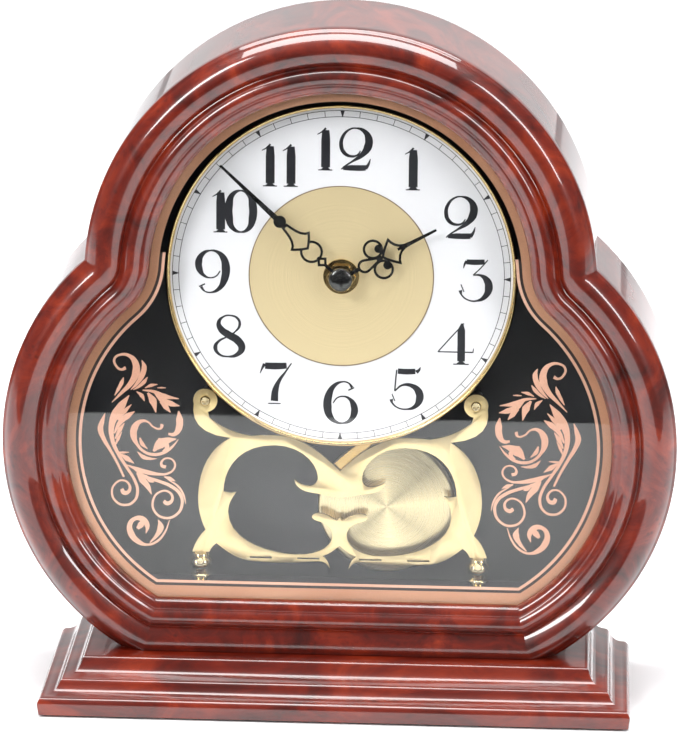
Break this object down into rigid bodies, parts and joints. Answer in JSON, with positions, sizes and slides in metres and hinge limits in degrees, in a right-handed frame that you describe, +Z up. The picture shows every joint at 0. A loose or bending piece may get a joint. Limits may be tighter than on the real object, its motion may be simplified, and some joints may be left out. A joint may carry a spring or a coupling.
{
  "type": "mantel clock",
  "caption": "Quartz mantel clock with a three-lobed lacquered wooden case on a moulded plinth, glass front, pierced brass ornament and swinging pendulum.",
  "frame": {"origin": "middle of the plinth's underside, at the surface the clock stands on", "axes": "+Z up through the dial, +Y from the dial to the back, +X to the right seen from the front"},
  "size_m": [0.3, 0.1002, 0.3074],
  "materials": {
    "lacquered_wood": "burl veneer under high gloss red-brown lacquer",
    "felt": "black self-adhesive felt",
    "black_board": "fibreboard with satin black paint",
    "pale_wood": "raw softwood",
    "clear_glass": "clear float glass with a copper coloured screen print on its back",
    "dial_white": "satin white enamel with black print",
    "dial_gold": "spun matt gold foil disc",
    "polished_brass": "polished and lacquered",
    "champagne_brass": "satin champagne gold face with a bright bevel",
    "steel": "bright zinc plated",
    "black_paint": "gloss black",
    "movement_black": "moulded",
    "white_plastic": "moulded",
    "rubber_black": "plain",
    "circuit_green": "solder mask",
    "copper_coil": "enamelled copper wire",
    "battery_sleeve": "plain printed sleeve",
    "magnet_grey": "sintered ferrite"
  },
  "bodies": {
    "case": {"plinth": "lacquered_wood", "felt_sheet": "felt", "plinth_screws": "steel", "case_hoop": "lacquered_wood", "frame_top": "lacquered_wood", "frame_corners": "lacquered_wood", "frame_sides": "lacquered_wood", "frame_rail": "lacquered_wood", "glass": "clear_glass", "glass_clips": "polished_brass", "clip_screws": "steel", "inner_board": "black_board", "board_blocks": "pale_wood", "inner_floor": "black_board", "dial_plate": "dial_white", "centre_disc": "dial_gold", "dial_bezel": "polished_brass", "dial_posts": "steel", "brass_strip": "polished_brass", "ornament_plate": "champagne_brass", "ornament_pillars": "champagne_brass", "ornament_posts": "steel", "ornament_screws": "champagne_brass", "movement_front": "movement_black", "movement_back": "movement_black", "movement_screws": "steel", "rubber_washer": "rubber_black", "dial_washer": "polished_brass", "dial_nut": "polished_brass", "circuit_board": "circuit_green", "motor_coil": "copper_coil", "stator": "steel", "battery": "battery_sleeve", "battery_contacts": "steel", "pulse_coil": "copper_coil", "pivot_pin": "steel", "back_panel": "black_board", "panel_screws": "polished_brass", "panel_hinges": "polished_brass", "hinge_pins": "steel", "catch_magnet": "magnet_grey"},
    "minute": {"minute_arbor": "polished_brass", "minute_hand": "black_paint", "hand_cap": "black_paint"},
    "hour": {"hour_wheel": "white_plastic", "hour_hand": "black_paint"},
    "motion": {"motion_wheel": "white_plastic"},
    "setting": {"setting_arbor": "polished_brass", "setting_knob": "white_plastic"},
    "third": {"third_wheel": "white_plastic"},
    "fourth": {"fourth_wheel": "white_plastic"},
    "rotor": {"rotor": "magnet_grey"},
    "pendulum": {"pendulum_lever": "white_plastic", "drive_magnet": "magnet_grey", "pendulum_rod": "polished_brass", "pendulum_bob": "polished_brass", "bob_nut": "polished_brass"},
    "door": {"rear_door": "black_board", "door_hinges": "polished_brass", "door_knob": "polished_brass"}
  },
  "joints": [
    {"name": "minute_spin", "type": "hinge", "parent": "case", "child": "minute", "pos_m": [0, 0.009, 0.1935], "axis": [0, 1, 0], "continuous": true},
    {"name": "hour_spin", "type": "hinge", "parent": "case", "child": "hour", "pos_m": [0, 0.009, 0.1935], "axis": [0, 1, 0], "continuous": true},
    {"name": "motion_spin", "type": "hinge", "parent": "case", "child": "motion", "pos_m": [-0.0096, 0.009, 0.1935], "axis": [0, 1, 0], "continuous": true},
    {"name": "setting_spin", "type": "hinge", "parent": "case", "child": "setting", "pos_m": [-0.01975, 0.009, 0.1898], "axis": [0, 1, 0], "continuous": true},
    {"name": "third_spin", "type": "hinge", "parent": "case", "child": "third", "pos_m": [0.00656, 0.009, 0.18569], "axis": [0, 1, 0], "continuous": true},
    {"name": "fourth_spin", "type": "hinge", "parent": "case", "child": "fourth", "pos_m": [0.01483, 0.009, 0.19263], "axis": [0, 1, 0], "continuous": true},
    {"name": "rotor_spin", "type": "hinge", "parent": "case", "child": "rotor", "pos_m": [0.0164, 0.009, 0.2016], "axis": [0, 1, 0], "continuous": true},
    {"name": "pendulum_swing", "type": "hinge", "parent": "case", "child": "pendulum", "pos_m": [0, 0.007, 0.1665], "axis": [0, 1, 0], "range_deg": [-0.6, 29.4]},
    {"name": "door_hinge", "type": "hinge", "parent": "case", "child": "door", "pos_m": [-0.0464, 0.04845, 0.1975], "axis": [0, 0, 1], "range_deg": [0, 110]}
  ],
  "couplings": [
    {"joint": "fourth_spin", "follows": "third_spin", "ratio": -8},
    {"joint": "minute_spin", "follows": "third_spin", "ratio": -0.13333},
    {"joint": "motion_spin", "follows": "third_spin", "ratio": 0.044444},
    {"joint": "setting_spin", "follows": "third_spin", "ratio": -0.088889},
    {"joint": "hour_spin", "follows": "third_spin", "ratio": -0.011111}
  ]
}
